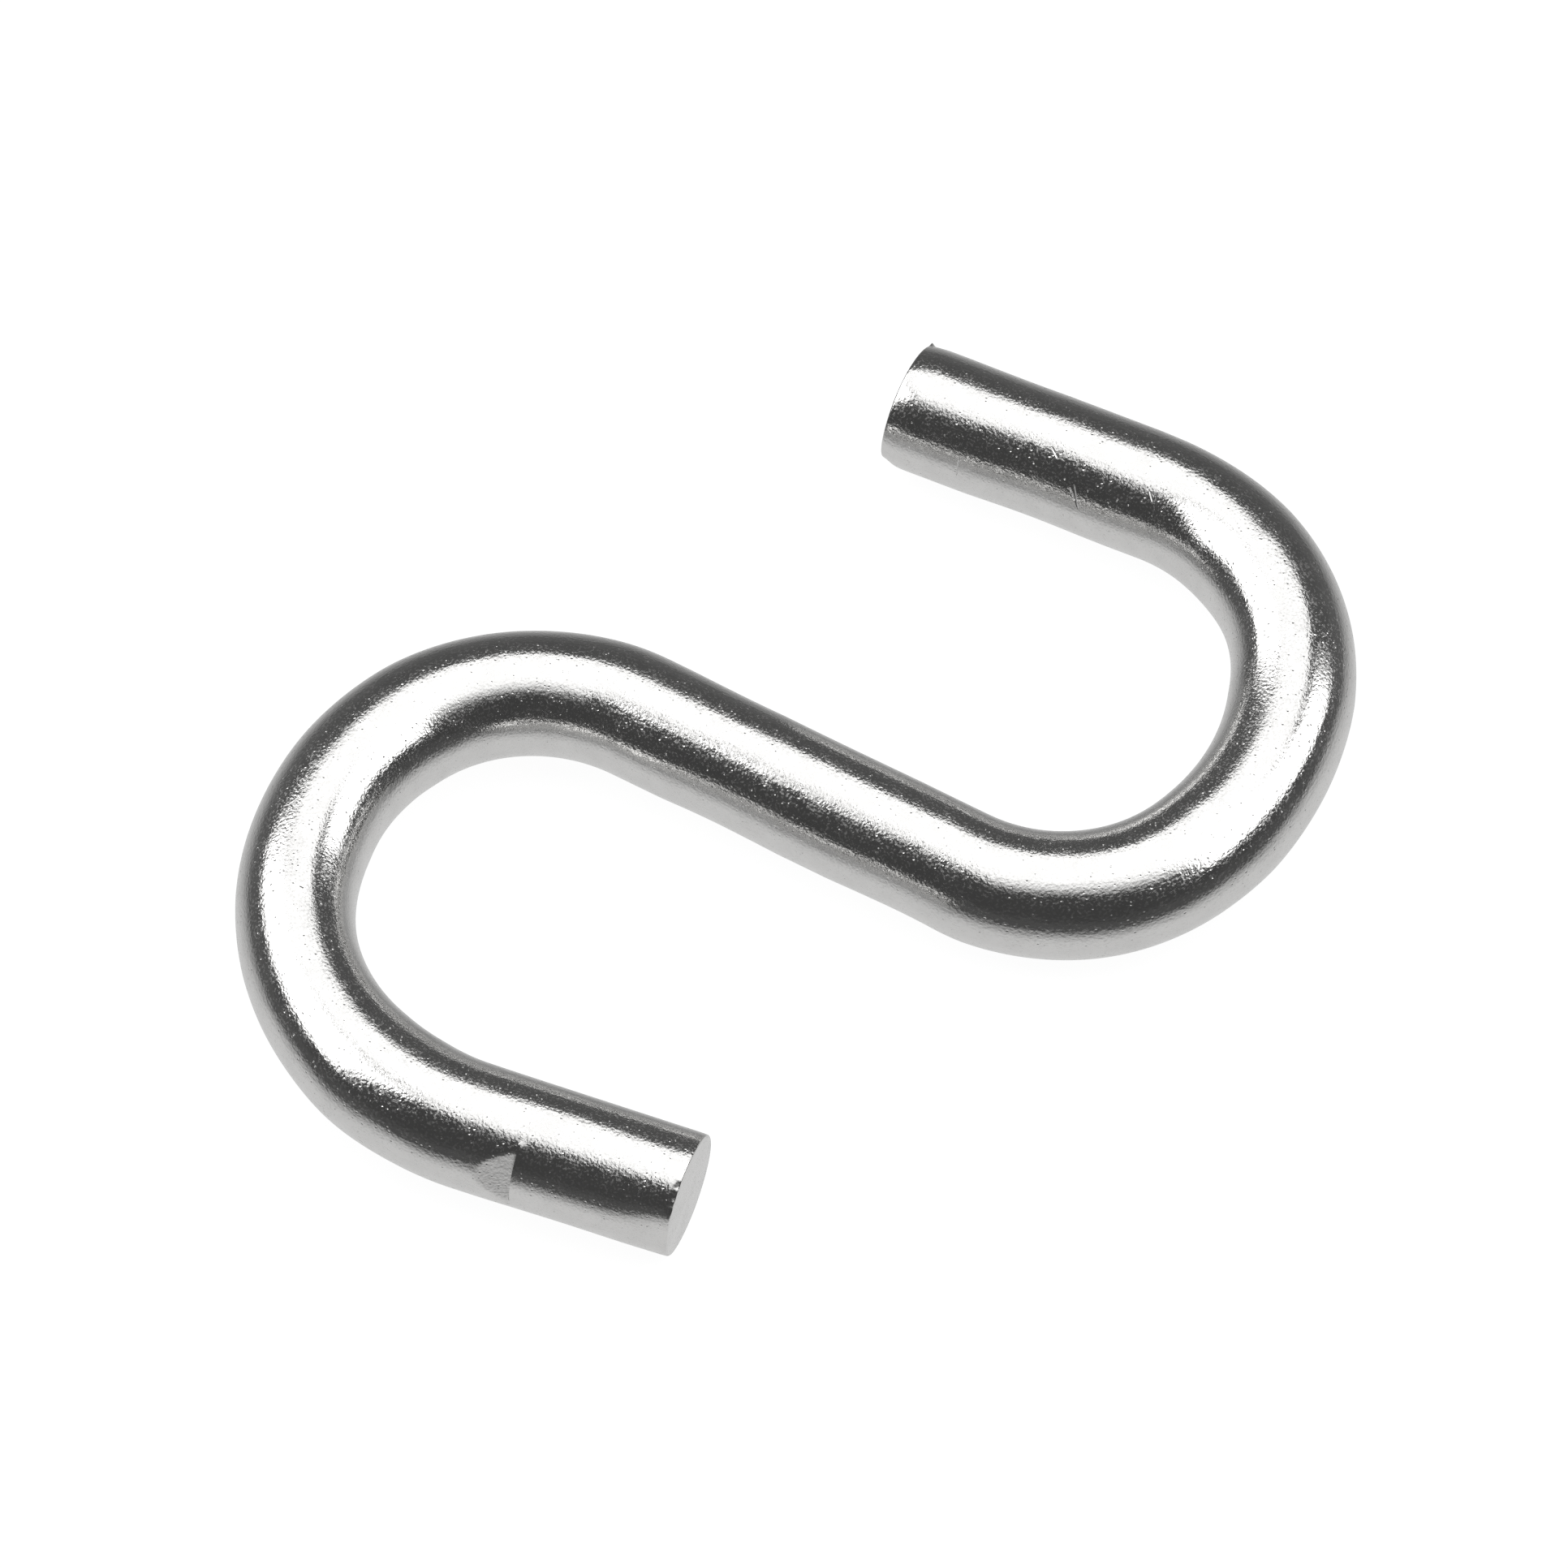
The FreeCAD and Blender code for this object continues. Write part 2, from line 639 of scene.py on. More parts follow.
@dataclass
class HookRod:
    """The hook's only piece: the bent rod, with its cut ends and its tool marks.

    The rings and spokes are those of its mesh. The flattening is the share of its width that
    the rod loses across the lower and the upper bend. The least facing keeps a pinch's formula
    from dividing by zero at the rod's sides.
    """

    BENDS: ClassVar[tuple[tuple[int, int], ...]] = ((1, 3), (5, 7))

    path: RodPath = field(default_factory=RodPath)
    finish: PlatedSteel = field(default_factory=PlatedSteel)
    node: str = "hook_rod"
    piece: str = "plated_hook_rod"
    body_rings: int = 620
    spokes: int = 120
    rim_rings: int = 5
    face_rings: int = 12
    end_crowding: float = 0.65
    rim_radius: float = 0.07 * MM
    weld_gap: float = 1e-6
    flattening: tuple[float, float] = (0.028, 0.014)
    bend_ease: float = 0.25
    wave_length: float = 7.0 * MM
    wave_height: float = 0.34 * MM
    wave_floor: float = 0.012 * MM
    crisp_angle_deg: float = 40.0
    least_facing: float = 0.2
    least_drag: float = 0.3
    slant_reach: float = 4.0 * MM
    lower_cut: CutEnd = CutEnd(
        drag_reach=0.5,
        drag_drop=0.03,
        drag_side_deg=60.0,
        slant=0.10,
        slant_side_deg=100.0,
        dome=0.06,
    )
    upper_cut: CutEnd = CutEnd(
        drag_reach=1.2,
        drag_drop=0.13,
        drag_side_deg=45.0,
        slant=0.08,
        slant_side_deg=-30.0,
        dome=0.06,
    )
    # Each mark's kind, place along and around the rod, reach along and around, and depth.
    marks: tuple[ToolMark, ...] = (
        ToolMark(MarkKind.PINCH, 7.65, 18.0, 1.8, 0.0, 0.51),
        ToolMark(MarkKind.DENT, 7.58, 55.0, 0.13, 0.16, -0.06),
        ToolMark(MarkKind.DENT, 0.0, 5.0, 1.8, 1.5, 0.30),
        ToolMark(MarkKind.DENT, 0.1, 65.0, 0.13, 0.13, 0.09),
        ToolMark(MarkKind.DENT, 0.1, 55.0, 0.13, 0.18, 0.10),
        ToolMark(MarkKind.DENT, 0.1, 43.0, 0.15, 0.16, 0.12),
        ToolMark(MarkKind.DENT, 16.2, 0.0, 2.0, 2.6, -0.12),
        ToolMark(MarkKind.DENT, 15.0, 180.0, 3.0, 2.6, -0.16),
        ToolMark(MarkKind.DENT, 24.0, 0.0, 4.5, 2.8, 0.10),
        ToolMark(MarkKind.DENT, 24.0, 180.0, 4.5, 2.8, 0.20),
        ToolMark(MarkKind.DENT, 58.0, 0.0, 7.0, 2.0, 0.14),
        ToolMark(MarkKind.DENT, 73.0, 180.0, 3.0, 2.4, -0.10),
        ToolMark(MarkKind.DENT, 73.0, 0.0, 3.0, 2.4, -0.10),
        ToolMark(MarkKind.DENT, 107.0, 40.0, 9.0, 2.2, 0.10),
        ToolMark(MarkKind.DENT, 96.5, 3.0, 2.6, 0.8, 0.06),
        ToolMark(MarkKind.DENT, 114.4, 148.0, 0.12, 0.22, -0.16),
        ToolMark(MarkKind.DENT, 114.4, -32.0, 0.35, 0.7, 0.20),
    )

    def build(self) -> bpy.types.Object:
        """Makes the rod's mesh, dresses it and puts it on its body.

        Returns:
            The finished object.
        """
        low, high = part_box(self.node)
        grown = bpy.data.objects.new(self.piece + "_grown", bpy.data.meshes.new(self.piece))
        bpy.context.scene.collection.objects.link(grown)
        modifier = grown.modifiers.new("rod", "NODES")
        modifier.node_group = self._tree()
        self._set_inputs(modifier, low, high)
        depsgraph = bpy.context.evaluated_depsgraph_get()
        mesh = bpy.data.meshes.new_from_object(
            grown.evaluated_get(depsgraph), preserve_all_data_layers=True, depsgraph=depsgraph
        )
        bpy.data.objects.remove(grown)
        rod = bpy.data.objects.new(self.piece, mesh)
        bpy.context.scene.collection.objects.link(rod)
        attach(rod, "root")
        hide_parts(self.node)
        log.info("%s: %d faces", self.piece, len(mesh.polygons))
        return rod

    def _set_inputs(self, modifier: bpy.types.NodesModifier, low: Vector, high: Vector) -> None:
        """Sets the tree's named inputs on the modifier, by each socket's identifier.

        Args:
            modifier: The modifier that holds the tree.
            low: The lowest corner of the rod's box.
            high: The highest corner of the rod's box.
        """
        values = {
            "Rod radius": (high.z - low.z) / 2.0,
            "Start": self.path.start(low, high),
            "Start heading": self.path.heading(),
            "Body rings": self.body_rings,
            "Spokes": self.spokes,
            "Rim rings": self.rim_rings,
            "Face rings": self.face_rings,
            "Rim radius": self.rim_radius,
            "Lower flattening": self.flattening[0],
            "Upper flattening": self.flattening[1],
            "Wave length": self.wave_length,
            "Wave height": self.wave_height,
            "Finish": self.finish.material(),
        }
        for number, run in enumerate(self.path.runs):
            values[f"Run {number} length"] = run.length
            values[f"Run {number} turn"] = run.turn
        for item in modifier.node_group.interface.items_tree:
            if item.item_type == "SOCKET" and item.in_out == "INPUT":
                modifier[item.identifier] = values[item.name]

    def _declare(self, tree: bpy.types.NodeTree) -> None:
        """Args:
            tree: The tree that grows the rod.
        """
        sockets = {
            "Rod radius": "NodeSocketFloat",
            "Start": "NodeSocketVector",
            "Start heading": "NodeSocketFloat",
            "Body rings": "NodeSocketInt",
            "Spokes": "NodeSocketInt",
            "Rim rings": "NodeSocketInt",
            "Face rings": "NodeSocketInt",
            "Rim radius": "NodeSocketFloat",
            "Lower flattening": "NodeSocketFloat",
            "Upper flattening": "NodeSocketFloat",
            "Wave length": "NodeSocketFloat",
            "Wave height": "NodeSocketFloat",
            "Finish": "NodeSocketMaterial",
        }
        for number in range(len(self.path.runs)):
            sockets[f"Run {number} length"] = "NodeSocketFloat"
            sockets[f"Run {number} turn"] = "NodeSocketFloat"
        for name, kind in sockets.items():
            tree.interface.new_socket(name, in_out="INPUT", socket_type=kind)
        tree.interface.new_socket("Rod", in_out="OUTPUT", socket_type="NodeSocketGeometry")

    def _tree(self) -> bpy.types.NodeTree:
        """The node tree that grows the rod from its sizes.

        Returns:
            The finished tree.
        """
        tree = bpy.data.node_groups.new("bent_rod", "GeometryNodeTree")
        self._declare(tree)
        sheet = NodeSheet(tree)
        given = sheet.add("NodeGroupInput").outputs
        radius = given["Rod radius"]
        grid, ring, angle = self._blank_grid(sheet, given)
        length = sheet.total(*(given[f"Run {n} length"] for n in range(len(self.path.runs))))
        along, reach = self._profile(sheet, given, ring, length)
        share = sheet.math("DIVIDE", reach, radius)
        cosine = sheet.math("COSINE", angle)
        sine = sheet.math("SINE", angle)
        unbent = sheet.vector(along, sheet.product(reach, cosine), sheet.product(reach, sine))
        drop_a, shift_a = self._cut(sheet, self.lower_cut, along, angle, share)
        drop_b, shift_b = self._cut(sheet, self.upper_cut, sheet.less(length, along), angle, share)
        marked = self._mark_depth(sheet, given, along, angle)
        worn = sheet.total(marked, self._waves(sheet, given, unbent), drop_a, drop_b)
        reach = sheet.less(reach, sheet.product(worn, share))
        side = sheet.product(reach, cosine, self._width_share(sheet, given, along))
        # Swellings don't lift the rod above its full height, or press it into the table.
        rise = sheet.product(reach, sine)
        rise = sheet.math("MINIMUM", rise, radius)
        rise = sheet.math("MAXIMUM", rise, sheet.product(radius, -1.0))
        centre, heading = self._centre_line(sheet, given, along)
        forward_x = sheet.math("COSINE", heading)
        forward_y = sheet.math("SINE", heading)
        shift = sheet.less(shift_b, shift_a)
        offset = sheet.vector(
            sheet.less(sheet.product(forward_x, shift), sheet.product(forward_y, side)),
            sheet.total(sheet.product(forward_y, shift), sheet.product(forward_x, side)),
            rise,
        )
        stored = sheet.add("GeometryNodeStoreNamedAttribute", data_type="FLOAT_VECTOR", domain="POINT")
        sheet.feed_all(stored, Geometry=grid, Name=UNBENT_PLACE, Value=unbent)
        moved = sheet.add("GeometryNodeSetPosition")
        place = sheet.vector_math("ADD", centre, offset)
        sheet.feed_all(moved, Geometry=stored.outputs[0], Position=place)
        self._close(sheet, given, moved.outputs[0])
        return tree

    def _blank_grid(self, sheet: NodeSheet, given: Outputs) -> tuple[Socket, Socket, Socket]:
        """A flat grid, with one row of points for each ring of the rod.

        Args:
            sheet: The tree's sheet.
            given: The tree's inputs.

        Returns:
            The grid, each point's ring number and its angle round the rod.
        """
        end_rings = sheet.total(given["Rim rings"], given["Face rings"])
        rings = sheet.total(given["Body rings"], sheet.product(end_rings, 2.0))
        grid = sheet.add("GeometryNodeMeshGrid")
        sheet.feed_all(
            grid,
            Size_X=rings,
            Size_Y=1.0,
            Vertices_X=sheet.total(rings, 1.0),
            Vertices_Y=sheet.total(given["Spokes"], 1.0),
        )
        x, y, _ = sheet.parts(sheet.add("GeometryNodeInputPosition").outputs[0])
        ring = sheet.total(x, sheet.product(rings, 0.5))
        # The grid's two long edges meet under the rod, at -90 degrees.
        angle = sheet.product(sheet.total(y, 0.25), math.tau)
        return grid.outputs["Mesh"], ring, angle

    def _profile(
        self, sheet: NodeSheet, given: Outputs, ring: Socket, length: Socket
    ) -> tuple[Socket, Socket]:
        """Where each ring lies along the rod, and how far it reaches from the centre line.

        The rings run from the middle of one end face, round its rim, along the rod, and round
        the other rim to the middle of the other face.

        Args:
            sheet: The tree's sheet.
            given: The tree's inputs.
            ring: The ring's number.
            length: The rod's length.

        Returns:
            The distance along the rod, and the ring's reach.
        """
        rim = given["Rim radius"]
        ends = [given["Face rings"]]
        for rings in ("Rim rings", "Body rings", "Rim rings", "Face rings"):
            ends.append(sheet.total(ends[-1], given[rings]))
        quarter = math.pi / 2.0
        near_face = sheet.ramp(ring, 0.0, ends[0])
        near_rim = sheet.ramp(ring, ends[0], ends[1], 0.0, quarter)
        even = sheet.ramp(ring, ends[1], ends[2])
        crowd = sheet.product(
            sheet.math("SINE", sheet.product(even, math.tau)), self.end_crowding / math.tau
        )
        body = sheet.less(even, crowd)
        far_rim = sheet.ramp(ring, ends[2], ends[3], 0.0, quarter)
        far_face = sheet.ramp(ring, ends[3], ends[4])
        flat = sheet.less(given["Rod radius"], rim)
        along = sheet.total(
            sheet.product(rim, sheet.less(1.0, sheet.math("COSINE", near_rim))),
            sheet.product(sheet.less(length, sheet.product(rim, 2.0)), body),
            sheet.product(rim, sheet.math("SINE", far_rim)),
        )
        grown = sheet.total(
            sheet.product(flat, near_face), sheet.product(rim, sheet.math("SINE", near_rim))
        )
        shrunk = sheet.total(
            sheet.product(flat, far_face),
            sheet.product(rim, sheet.less(1.0, sheet.math("COSINE", far_rim))),
        )
        return along, sheet.less(grown, shrunk)

    def _centre_line(self, sheet: NodeSheet, given: Outputs, along: Socket) -> tuple[Socket, Socket]:
        """Follows the rod's straight runs and arcs.

        Args:
            sheet: The tree's sheet.
            given: The tree's inputs.
            along: The distance along the rod.

        Returns:
            The point on the centre line, and the rod's heading there.
        """
        group = self._run_group()
        place = given["Start"]
        heading = run_heading = given["Start heading"]
        run_start = sheet.total(0.0, 0.0)
        for number in range(len(self.path.runs)):
            length = given[f"Run {number} length"]
            turn = given[f"Run {number} turn"]
            run = sheet.add("GeometryNodeGroup", node_tree=group)
            sheet.feed_all(
                run, Along=along, Run_start=run_start, Length=length, Turn=turn, Heading=run_heading
            )
            place = sheet.vector_math("ADD", place, run.outputs["Run step"])
            heading = sheet.total(heading, run.outputs["Turned"])
            run_start = sheet.total(run_start, length)
            run_heading = sheet.total(run_heading, turn)
        return place, heading

    def _run_group(self) -> bpy.types.NodeTree:
        """A node group for one run: the step and the turn from its start to a place on it.

        Returns:
            The finished group.
        """
        group = FormulaGroup(
            "rod_run", ("Along", "Run start", "Length", "Turn", "Heading"), ("Run step", "Turned")
        )
        sheet, given = group.sheet, group.given
        past = sheet.less(given["Along"], given["Run start"])
        inside = sheet.math("MINIMUM", sheet.math("MAXIMUM", past, 0.0), given["Length"])
        turned = sheet.product(given["Turn"], sheet.math("DIVIDE", inside, given["Length"]))
        # A straight run has no turn, so the half turn is kept just off zero, to divide by.
        just_off_zero = 1e-6
        half = sheet.total(sheet.product(turned, 0.5), just_off_zero)
        chord = sheet.product(inside, sheet.math("DIVIDE", sheet.math("SINE", half), half))
        toward = sheet.total(given["Heading"], half)
        step = sheet.vector(
            sheet.product(chord, sheet.math("COSINE", toward)),
            sheet.product(chord, sheet.math("SINE", toward)),
            0.0,
        )
        return group.finish(Run_step=step, Turned=turned)

    def _width_share(self, sheet: NodeSheet, given: Outputs, along: Socket) -> Socket:
        """How much of its width the rod keeps across the bend, where 1 is round.

        Args:
            sheet: The tree's sheet.
            given: The tree's inputs.
            along: The distance along the rod.

        Returns:
            The share's socket.
        """
        share = 1.0
        for (first, last), name in zip(self.BENDS, ("Lower flattening", "Upper flattening")):
            begin = sheet.total(*(given[f"Run {n} length"] for n in range(first)))
            span = sheet.total(*(given[f"Run {n} length"] for n in range(first, last + 1)))
            where = sheet.math("DIVIDE", sheet.less(along, begin), span)
            rising = sheet.ramp(where, 0.0, self.bend_ease, smooth=True)
            falling = sheet.ramp(where, 1.0 - self.bend_ease, 1.0, 1.0, 0.0, smooth=True)
            share = sheet.less(share, sheet.product(rising, falling, given[name]))
        return share

    def _waves(self, sheet: NodeSheet, given: Outputs, unbent: Socket) -> Socket:
        """The slow unevenness of a cold-bent rod, always inside its full size.

        Args:
            sheet: The tree's sheet.
            given: The tree's inputs.
            unbent: The place on the unbent rod.

        Returns:
            The depth's socket.
        """
        spread = sheet.noise(unbent, sheet.math("DIVIDE", 1.0, given["Wave length"]), 0.0)
        depth = sheet.product(sheet.less(0.5, spread), given["Wave height"])
        return sheet.math("MAXIMUM", sheet.total(depth, self.wave_floor), 0.0)

    def _mark_depth(self, sheet: NodeSheet, given: Outputs, along: Socket, angle: Socket) -> Socket:
        """How far each point is pressed in by the tool marks.

        Args:
            sheet: The tree's sheet.
            given: The tree's inputs.
            along: The distance along the rod.
            angle: The angle round the rod.

        Returns:
            The depth's socket.
        """
        groups = {MarkKind.DENT: self._dent_group(), MarkKind.PINCH: self._pinch_group()}
        depths = []
        for mark in self.marks:
            node = sheet.add("GeometryNodeGroup", node_tree=groups[mark.kind])
            sheet.feed_all(
                node,
                Along=along,
                Angle=angle,
                Rod_radius=given["Rod radius"],
                Mark_along=mark.along * MM,
                Mark_angle=math.radians(mark.around_deg),
                Reach_along=mark.reach_along * MM,
                Reach_around=mark.reach_around * MM,
                Depth=mark.depth * MM,
            )
            depths.append(node.outputs["Pressed"])
        return sheet.total(*depths)

    def _mark_group(self, name: str) -> tuple[FormulaGroup, Socket, Socket]:
        """Starts a mark's node group.

        Args:
            name: The group's name.

        Returns:
            The group, and the distance from the mark along the rod and the angle from it.
        """
        group = FormulaGroup(
            name,
            (
                "Along",
                "Angle",
                "Rod radius",
                "Mark along",
                "Mark angle",
                "Reach along",
                "Reach around",
                "Depth",
            ),
            ("Pressed",),
        )
        sheet, given = group.sheet, group.given
        past = sheet.less(given["Along"], given["Mark along"])
        turned = sheet.less(given["Angle"], given["Mark angle"])
        turned = sheet.math("WRAP", turned, math.pi, -math.pi)
        return group, past, turned

    def _dent_group(self) -> bpy.types.NodeTree:
        """A node group for a dent: a bell-shaped hollow, with a reach each way.

        Returns:
            The finished group.
        """
        group, past, turned = self._mark_group("tool_dent")
        sheet, given = group.sheet, group.given
        off = sheet.product(turned, given["Rod radius"])
        spread = sheet.total(
            sheet.square(sheet.math("DIVIDE", past, given["Reach along"])),
            sheet.square(sheet.math("DIVIDE", off, given["Reach around"])),
        )
        bell = sheet.math("EXPONENT", sheet.product(spread, -1.0))
        return group.finish(Pressed=sheet.product(bell, given["Depth"]))

    def _pinch_group(self) -> bpy.types.NodeTree:
        """A node group for a pinch: a flat cut across the section, deepest at its step.

        Returns:
            The finished group.
        """
        group, past, turned = self._mark_group("tool_pinch")
        sheet, given = group.sheet, group.given
        radius = given["Rod radius"]
        bite = sheet.ramp(past, 0.0, given["Reach along"], given["Depth"], 0.0)
        bite = sheet.product(bite, sheet.math("GREATER_THAN", past, 0.0))
        facing = sheet.math("MAXIMUM", sheet.math("COSINE", turned), self.least_facing)
        flat = sheet.math("DIVIDE", sheet.less(radius, bite), facing)
        return group.finish(Pressed=sheet.math("MAXIMUM", sheet.less(radius, flat), 0.0))

    def _cut(
        self, sheet: NodeSheet, cut: CutEnd, from_end: Socket, angle: Socket, share: Socket
    ) -> tuple[Socket, Socket]:
        """How one sheared end is shaped.

        Args:
            sheet: The tree's sheet.
            cut: The end's sizes.
            from_end: The distance along the rod from this end.
            angle: The angle round the rod.
            share: The distance from the centre line, where 1 is the rod's surface.

        Returns:
            How far the surface is dragged in, and how far it is pushed out along the rod.
        """
        near = sheet.ramp(from_end, 0.0, cut.drag_reach * MM, 1.0, 0.0)
        side = sheet.math("COSINE", sheet.less(angle, math.radians(cut.drag_side_deg)))
        uneven = sheet.ramp(side, -1.0, 1.0, self.least_drag, 1.0)
        drop = sheet.product(sheet.square(near), uneven, cut.drag_drop * MM)
        lean = sheet.math("COSINE", sheet.less(angle, math.radians(cut.slant_side_deg)))
        shove = sheet.ramp(from_end, 0.0, self.slant_reach, cut.slant * MM, 0.0, smooth=True)
        slant = sheet.product(lean, share, shove)
        at_face = sheet.ramp(from_end, 0.0, self.rim_radius, 1.0, 0.0)
        dome = sheet.product(sheet.less(1.0, sheet.square(share)), at_face, cut.dome * MM)
        return drop, sheet.total(slant, dome)

    def _close(self, sheet: NodeSheet, given: Outputs, mesh: Socket) -> None:
        """Joins the grid's seam and poles, and gives the rod its finish.

        Args:
            sheet: The tree's sheet.
            given: The tree's inputs.
            mesh: The placed grid.
        """
        merged = sheet.add("GeometryNodeMergeByDistance")
        sheet.feed_all(merged, Geometry=mesh, Distance=self.weld_gap)
        # The grid's faces look at the centre line once it is rolled up, so they are turned round.
        outward = sheet.add("GeometryNodeFlipFaces")
        sheet.feed_all(outward, Mesh=merged.outputs[0])
        smooth = sheet.add("GeometryNodeSetShadeSmooth", domain="FACE")
        sheet.feed_all(smooth, Geometry=outward.outputs[0])
        fold = sheet.add("GeometryNodeInputMeshEdgeAngle").outputs["Unsigned Angle"]
        sharp = sheet.math("GREATER_THAN", fold, math.radians(self.crisp_angle_deg))
        crisp = sheet.add("GeometryNodeSetShadeSmooth", domain="EDGE")
        sheet.feed_all(crisp, Geometry=smooth.outputs[0], Selection=sharp, Shade_Smooth=False)
        real = sheet.add("GeometryNodeRealizeInstances")
        sheet.feed_all(real, Geometry=crisp.outputs[0])
        finish = sheet.add("GeometryNodeSetMaterial")
        sheet.feed_all(finish, Geometry=real.outputs[0], Material=given["Finish"])
        sheet.feed_all(sheet.add("NodeGroupOutput"), Rod=finish.outputs[0])


@dataclass(frozen=True)
class SoftBox:
    """A flat soft light over the hook.

    Its place is in metres and its turns in degrees, about the view's right, its far side and
    up: a box with no turns lies level. Its near edge may fade.
    """

    name: str
    place: tuple[float, float, float]
    turns_deg: tuple[float, float, float]
    width: float
    height: float
    radiance: float
    near_fade: float = 0.0


@dataclass
class Studio:
    """The table, the lights, the room and the camera.

    In the room, a direction's farness is 1 towards the view's far side and -1 towards the near
    side, and its height is 1 straight up and -1 straight down.
    """

    view_azimuth_deg: float = 30.0
    view_elevation_deg: float = 57.0
    lens: float = 600.0
    sensor: float = 36.0
    frame_width: float = 72.76 * MM
    aim_right: float = -0.372 * MM
    aim_up: float = 0.687 * MM
    # Each light's name, place, turns, width, height, radiance and near fade.
    soft_boxes: tuple[SoftBox, ...] = (
        SoftBox("left_soft_box", (-0.687, 0.257, 0.679), (-12.0, -51.1, 4.2), 0.735, 1.034, 2.2),
        SoftBox("overhead_soft_box", (0.135, 0.115, 1.0), (0.0, 0.0, 3.6), 1.09, 1.72, 1.37, 0.35),
        SoftBox("right_soft_box", (0.731, 0.154, 0.665), (-15.0, 70.0, -47.1), 0.725, 1.008, 2.2),
    )
    box_rim: float = 0.02
    rim_setback: float = 1.01
    dim_radiance: float = 0.1
    table_radius: float = 3.0
    table_sides: int = 96
    table_albedo: float = 0.12
    table_roughness: float = 0.9
    table_glow: float = 0.95
    dark_near: float = 0.07
    dark_far: float = 0.11
    dark_farness: tuple[float, float] = (-0.3, 0.7)
    horizon_lift: float = 0.035
    horizon_reach: float = 0.3
    far_haze: float = 0.20
    haze_farness: float = 0.8
    haze_heights: tuple[float, float] = (-0.28, -0.08)
    floor_level: float = 0.85
    floor_depths: tuple[float, float] = (0.15, 0.66)
    floor_stretch: float = 1.4
    backdrop: float = 1.0
    clip_shares: tuple[float, float] = (0.01, 100.0)

    def build(self) -> None:
        """Sets up everything that isn't the hook."""
        self._table()
        for box in self.soft_boxes:
            self._soft_box(box)
        self._room()
        self._camera()
        view = bpy.context.scene.view_settings
        view.view_transform = "Standard"
        view.look = "None"

    def _view_axes(self) -> tuple[Vector, Vector, Vector]:
        """The directions that the studio is laid out by.

        Returns:
            The view's right, its far side along the table, and the way back to the camera.
        """
        turn = math.radians(self.view_azimuth_deg)
        rise = math.radians(self.view_elevation_deg)
        right = Vector((math.cos(turn), math.sin(turn), 0.0))
        far = Vector((-math.sin(turn), math.cos(turn), 0.0))
        back = UP * math.sin(rise) - far * math.cos(rise)
        return right, far, back

    def _panel(self, name: str, corners: list[Vector], material: bpy.types.Material) -> bpy.types.Object:
        """A flat panel that is part of the studio.

        Args:
            name: The panel's name.
            corners: Its corners, in order.
            material: Its material.

        Returns:
            The panel's object.
        """
        mesh = bpy.data.meshes.new(name)
        mesh.from_pydata([tuple(corner) for corner in corners], [], [tuple(range(len(corners)))])
        mesh.materials.append(material)
        panel = bpy.data.objects.new(name, mesh)
        bpy.context.scene.collection.objects.link(panel)
        return panel

    def _table(self) -> None:
        """A round table top under the hook, pale because it glows from within.

        The metal doesn't mirror it: it mirrors the room and the room's lit floor instead.
        """
        low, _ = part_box("hook_rod")
        angles = [math.tau * side / self.table_sides for side in range(self.table_sides)]
        rim = [
            Vector((math.cos(angle), math.sin(angle), 0.0)) * self.table_radius + UP * low.z
            for angle in angles
        ]
        material = bpy.data.materials.new("table_top")
        material.use_nodes = True
        shader = material.node_tree.nodes["Principled BSDF"]
        shader.inputs["Base Color"].default_value = (self.table_albedo,) * 3 + (1.0,)
        shader.inputs["Roughness"].default_value = self.table_roughness
        shader.inputs["Specular IOR Level"].default_value = 0.0
        shader.inputs["Emission Color"].default_value = (1.0, 1.0, 1.0, 1.0)
        shader.inputs["Emission Strength"].default_value = self.table_glow
        table = self._panel("table_top", rim, material)
        table.visible_glossy = False
        log.info("table top: %.1f m across", self.table_radius * 2.0)

    def _soft_box(self, box: SoftBox) -> None:
        """One soft light, with a dim rim behind its edges where its near edge doesn't fade.

        Args:
            box: The light's place, turns and size.
        """
        right, far, _ = self._view_axes()
        turns = Euler([math.radians(turn) for turn in box.turns_deg], "XYZ")

        def corners(margin: float, depth: float) -> list[Vector]:
            """The corners of the panel, grown by a margin and set back.

            Args:
                margin: How far it grows past each edge.
                depth: Its distance from the hook, where 1 is the light's own.

            Returns:
                The four corners, in order.
            """
            found = []
            for x, y in ((-0.5, -0.5), (0.5, -0.5), (0.5, 0.5), (-0.5, 0.5)):
                flat = Vector((x * (box.width + margin * 2.0), y * (box.height + margin * 2.0), 0.0))
                flat.rotate(turns)
                local = (Vector(box.place) + flat) * depth
                found.append(right * local.x + far * local.y + UP * local.z)
            return found

        light = self._glow(box.name, box.radiance, box.near_fade)
        panel = self._panel(box.name, corners(0.0, 1.0), light)
        layer = panel.data.uv_layers.new(name="panel")
        for loop, uv in zip(layer.data, ((0.0, 0.0), (1.0, 0.0), (1.0, 1.0), (0.0, 1.0))):
            loop.uv = uv
        panel.visible_camera = False
        if box.near_fade == 0.0:
            dim = self._glow("box_rim", self.dim_radiance, 0.0)
            rim = self._panel(box.name + "_rim", corners(self.box_rim, self.rim_setback), dim)
            rim.visible_camera = False
            rim.visible_shadow = False
        log.info("%s: %.2f x %.2f m", box.name, box.width, box.height)

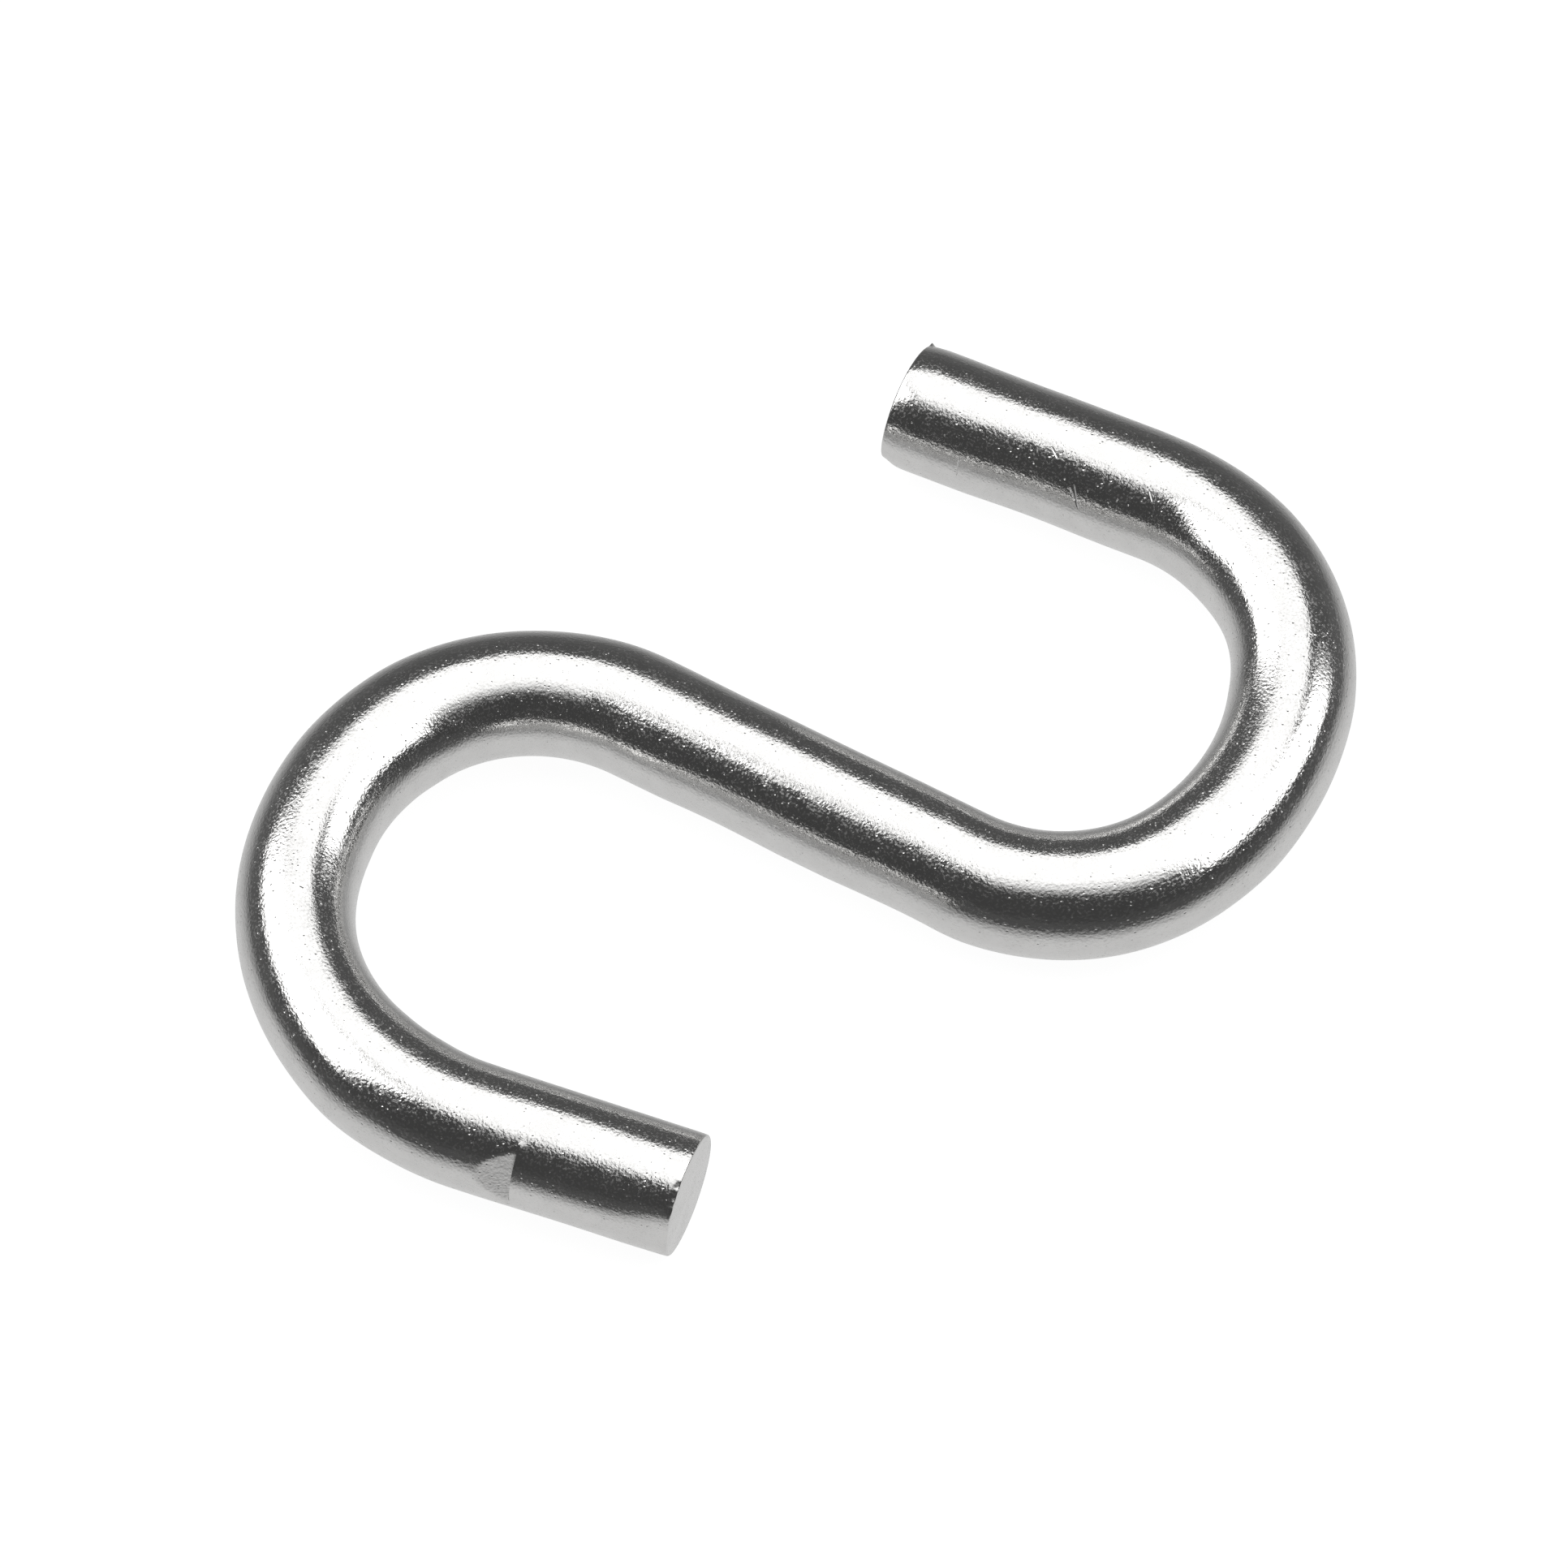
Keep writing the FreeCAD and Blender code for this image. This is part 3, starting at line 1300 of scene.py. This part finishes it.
    def _glow(self, name: str, radiance: float, near_fade: float) -> bpy.types.Material:
        """A glowing cloth.

        Args:
            name: The material's name.
            radiance: How bright it is.
            near_fade: The share of its height over which its near edge fades.

        Returns:
            The material.
        """
        material = bpy.data.materials.new(name)
        material.use_nodes = True
        material.node_tree.nodes.clear()
        sheet = NodeSheet(material.node_tree)
        glow = sheet.add("ShaderNodeEmission")
        glow.inputs["Strength"].default_value = radiance
        if near_fade:
            _, up_cloth, _ = sheet.parts(sheet.add("ShaderNodeUVMap", uv_map="panel").outputs[0])
            faded = sheet.ramp(up_cloth, 0.0, near_fade, self.dim_radiance, radiance, smooth=True)
            sheet.feed(glow.inputs["Strength"], faded)
        sheet.feed_all(sheet.add("ShaderNodeOutputMaterial"), Surface=glow.outputs[0])
        return material

    def _room(self) -> None:
        """The dim room and lit floor that the metal mirrors, and the backdrop that the camera sees."""
        _, far, _ = self._view_axes()
        world = bpy.data.worlds.new("room")
        bpy.context.scene.world = world
        world.use_nodes = True
        world.node_tree.nodes.clear()
        sheet = NodeSheet(world.node_tree)
        toward = sheet.add("ShaderNodeTexCoord").outputs["Generated"]
        _, _, up = sheet.parts(toward)
        dot = sheet.add("ShaderNodeVectorMath", operation="DOT_PRODUCT")
        sheet.feed(dot.inputs[0], toward)
        dot.inputs[1].default_value = far
        farness = dot.outputs["Value"]
        dark = sheet.ramp(farness, *self.dark_farness, self.dark_near, self.dark_far)
        off_level = sheet.math("ABSOLUTE", up)
        near_horizon = sheet.ramp(
            off_level, 0.0, self.horizon_reach, self.horizon_lift, 0.0, smooth=True
        )
        haze = sheet.product(
            sheet.ramp(farness, 0.0, self.haze_farness, smooth=True),
            sheet.ramp(up, *self.haze_heights, self.far_haze, 0.0, smooth=True),
        )
        # The lit floor sets in further below the horizon on the far side.
        far_side = sheet.square(sheet.math("MAXIMUM", farness, 0.0))
        stretch = sheet.total(1.0, sheet.product(far_side, self.floor_stretch))
        below = sheet.math("DIVIDE", sheet.product(up, -1.0), stretch)
        unlit = sheet.ramp(below, *self.floor_depths, 1.0, 0.0)
        lit = sheet.less(1.0, sheet.square(unlit))
        mirrored = sheet.total(
            sheet.product(sheet.less(1.0, lit), sheet.total(dark, near_horizon, haze)),
            sheet.product(lit, self.floor_level),
        )
        seen = sheet.add("ShaderNodeLightPath").outputs["Is Camera Ray"]
        level = sheet.ramp(seen, 0.0, 1.0, mirrored, self.backdrop)
        background = sheet.add("ShaderNodeBackground")
        sheet.feed_all(background, Strength=level)
        sheet.feed_all(sheet.add("ShaderNodeOutputWorld"), Surface=background.outputs[0])

    def _camera(self) -> None:
        """A long-lens camera at the viewing angle."""
        right, _, back = self._view_axes()
        up = back.cross(right)
        low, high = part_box("hook_rod")
        target = (low + high) / 2.0 + right * self.aim_right + up * self.aim_up
        distance = self.frame_width * self.lens / self.sensor
        data = bpy.data.cameras.new("camera")
        data.lens = self.lens
        data.sensor_width = self.sensor
        data.clip_start = distance * self.clip_shares[0]
        data.clip_end = distance * self.clip_shares[1]
        camera = bpy.data.objects.new("camera", data)
        bpy.context.scene.collection.objects.link(camera)
        camera.location = target + back * distance
        camera.rotation_mode = "QUATERNION"
        camera.rotation_quaternion = (-back).to_track_quat("-Z", "Y")
        bpy.context.scene.camera = camera
        log.info("camera: %.2f m away", distance)


def main() -> None:
    """Builds the hook and the studio round it."""
    logging.basicConfig(level=logging.INFO, format="%(message)s")
    HookRod().build()
    Studio().build()


if __name__ == "__main__":
    main()
